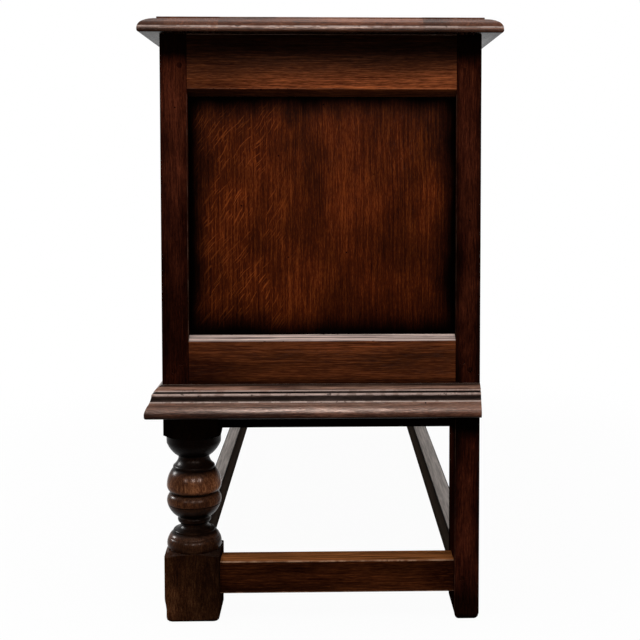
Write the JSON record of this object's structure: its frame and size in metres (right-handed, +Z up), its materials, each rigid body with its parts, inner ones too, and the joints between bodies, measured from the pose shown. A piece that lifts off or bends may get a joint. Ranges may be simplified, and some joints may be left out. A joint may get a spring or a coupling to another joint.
{
  "type": "blanket chest",
  "caption": "Dark oak framed and panelled blanket chest with a hinged framed lid, on a stand with turned front legs, square back legs and low stretchers.",
  "frame": {"origin": "on the floor, under the middle of the lid", "axes": "+X along the chest to its right-hand end, +Y from front to back, +Z up"},
  "size_m": [1.33, 0.462, 0.787],
  "materials": {
    "frame_oak": "dark stained, waxed oak",
    "panel_oak": "stained, waxed oak with ray flecks",
    "lid_oak": "dark stained, waxed oak",
    "floor_oak": "bare, dull oak",
    "peg_oak": "dark end grain",
    "hinge_iron": "dark waxed iron"
  },
  "bodies": {
    "carcase": {"front_leg_left": "frame_oak", "front_leg_right": "frame_oak", "back_post_left": "frame_oak", "back_post_right": "frame_oak", "front_stretcher": "frame_oak", "back_stretcher": "frame_oak", "end_stretcher_left": "frame_oak", "end_stretcher_right": "frame_oak", "front_apron": "frame_oak", "back_apron": "frame_oak", "end_apron_left": "frame_oak", "end_apron_right": "frame_oak", "front_stile_left": "frame_oak", "front_stile_right": "frame_oak", "front_top_rail": "frame_oak", "front_bottom_rail": "frame_oak", "front_muntin_left": "frame_oak", "front_muntin_right": "frame_oak", "front_panel_left": "panel_oak", "front_panel_centre": "panel_oak", "front_panel_right": "panel_oak", "end_top_rail_left": "frame_oak", "end_top_rail_right": "frame_oak", "end_bottom_rail_left": "frame_oak", "end_bottom_rail_right": "frame_oak", "end_panel_left": "panel_oak", "end_panel_right": "panel_oak", "back_top_rail": "frame_oak", "back_bottom_rail": "frame_oak", "back_muntin_left": "frame_oak", "back_muntin_right": "frame_oak", "back_panel_left": "panel_oak", "back_panel_centre": "panel_oak", "back_panel_right": "panel_oak", "base_moulding_front": "frame_oak", "base_moulding_left": "frame_oak", "base_moulding_right": "frame_oak", "floor_boards": "floor_oak", "floor_battens": "floor_oak", "floor_bearers": "floor_oak", "hinge_body_leaf_left": "hinge_iron", "hinge_body_leaf_right": "hinge_iron", "hinge_pin_left": "hinge_iron", "hinge_pin_right": "hinge_iron", "carcase_screws": "hinge_iron", "carcase_pegs": "peg_oak", "stand_pegs": "peg_oak"},
    "lid": {"lid_front_rail": "lid_oak", "lid_back_rail": "lid_oak", "lid_end_rail_left": "lid_oak", "lid_end_rail_right": "lid_oak", "lid_muntin_left": "lid_oak", "lid_muntin_right": "lid_oak", "lid_panel_left": "lid_oak", "lid_panel_centre": "lid_oak", "lid_panel_right": "lid_oak", "hinge_lid_leaf_left": "hinge_iron", "hinge_lid_leaf_right": "hinge_iron", "lid_screws": "hinge_iron", "lid_pegs": "peg_oak"}
  },
  "joints": [
    {"name": "lid_hinge", "type": "hinge", "parent": "carcase", "child": "lid", "pos_m": [0, 0.211, 0.7655], "axis": [-1, 0, 0], "range_deg": [0, 103]}
  ]
}
